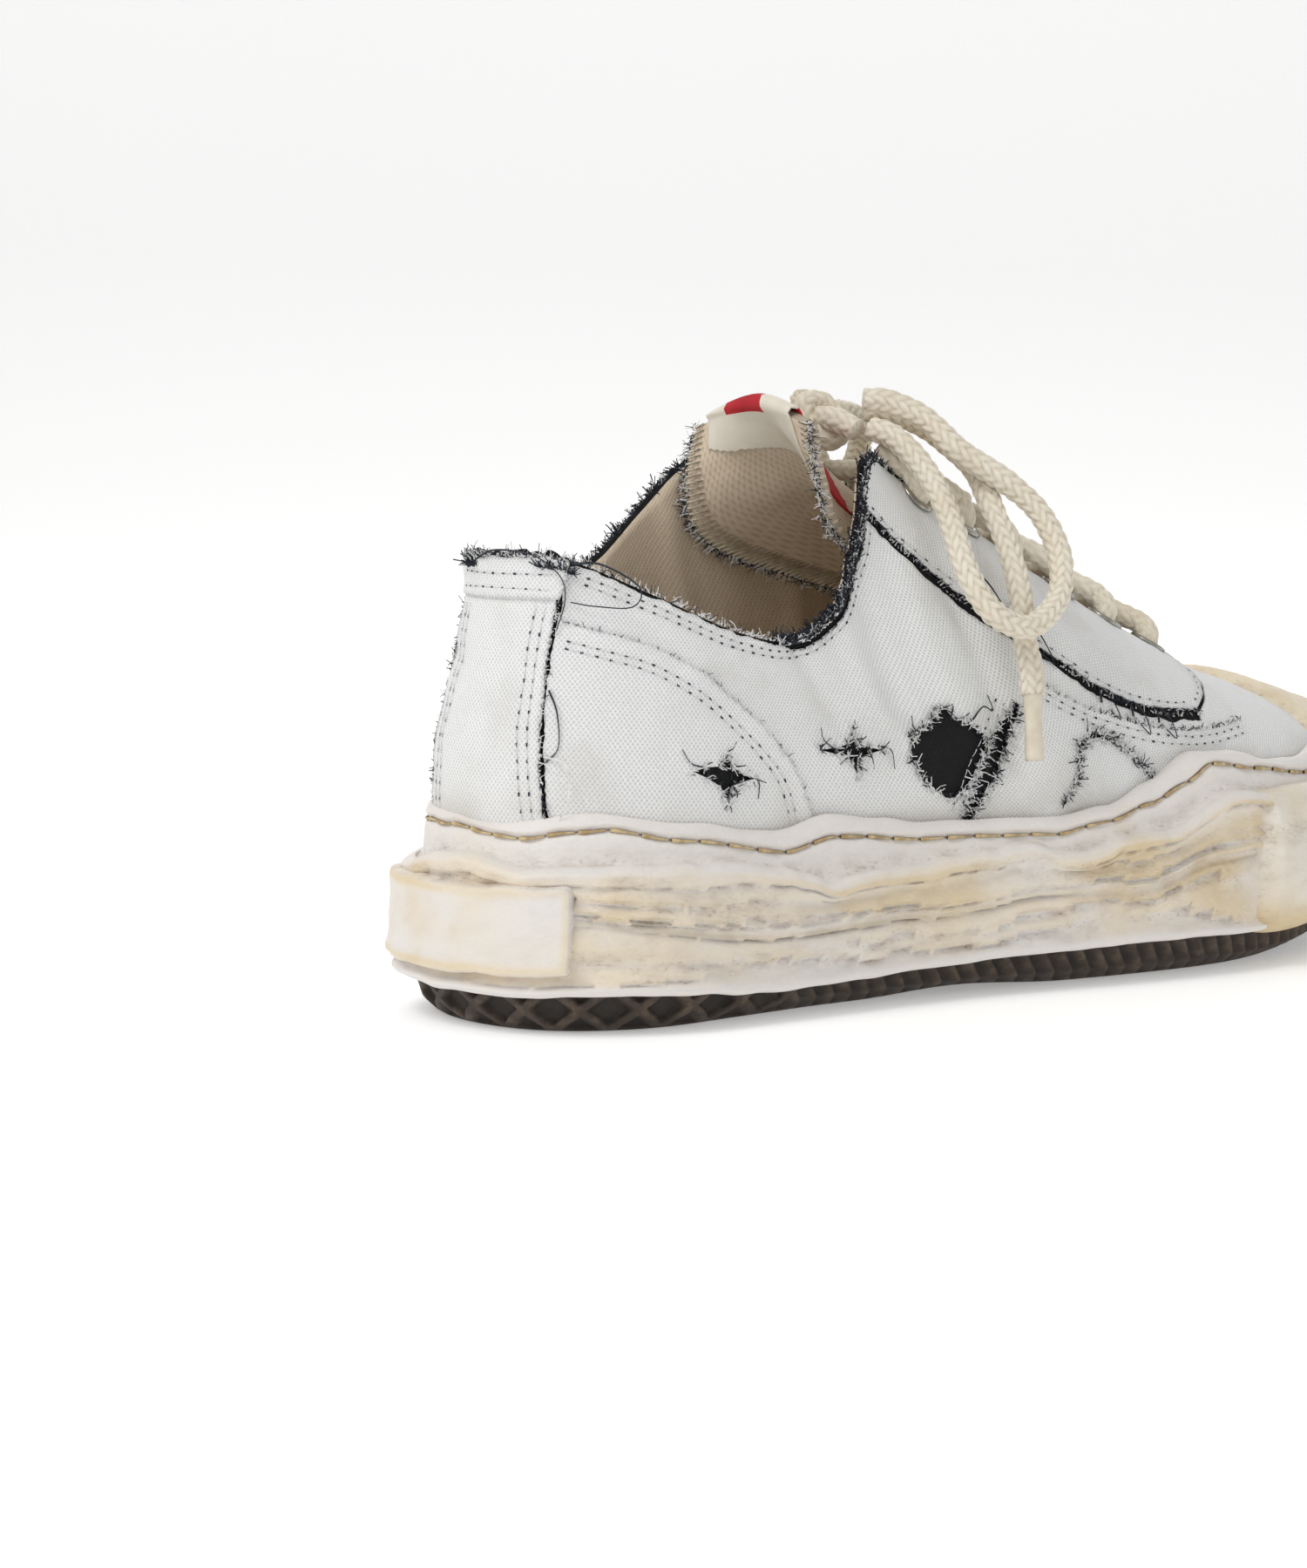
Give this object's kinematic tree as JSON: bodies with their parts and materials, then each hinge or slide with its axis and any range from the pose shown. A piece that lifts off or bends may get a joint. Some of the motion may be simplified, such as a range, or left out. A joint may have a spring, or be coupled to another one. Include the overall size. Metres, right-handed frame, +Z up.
{
  "type": "worn low-top canvas sneaker",
  "caption": "Right low-top lace-up canvas shoe with frayed raw edges, cut holes, a thick wavy rubber cup sole, rubber toe cap and toe roll, and a tied cotton lace.",
  "frame": {"origin": "on the ground under the middle of the shoe", "axes": "+X from heel to toe, +Y towards the medial side (the shoe is a right one), +Z up"},
  "size_m": [0.3167, 0.1279, 0.1495],
  "materials": {
    "canvas": "woven cotton canvas, raw and frayed at its edges",
    "rubber": "matte pale rubber, yellowed and dirty",
    "tread": "matte dark rubber",
    "lining": "plain woven lining",
    "cotton": "braided cotton cord",
    "metal": "dull plated eyelet",
    "tip": "stiffened lace tip"
  },
  "bodies": {
    "root": {"upper": "canvas", "outsole": "tread", "sidewall": "rubber", "insole": "lining", "heel_plate": "rubber", "toe_bumper": "rubber", "toe_cap": "rubber", "tongue": "lining", "eyelet_lateral_1": "metal", "eyelet_lateral_2": "metal", "eyelet_lateral_3": "metal", "eyelet_lateral_4": "metal", "eyelet_lateral_5": "metal", "eyelet_lateral_6": "metal", "eyelet_medial_1": "metal", "eyelet_medial_2": "metal", "eyelet_medial_3": "metal", "eyelet_medial_4": "metal", "eyelet_medial_5": "metal", "eyelet_medial_6": "metal", "lace_crossings": "cotton", "lace_knot": "cotton", "lace_loop_lateral": "cotton", "lace_loop_medial": "cotton", "lace_end_lateral": "cotton", "lace_end_medial": "cotton", "lace_tip_lateral": "tip", "lace_tip_medial": "tip"}
  },
  "joints": []
}
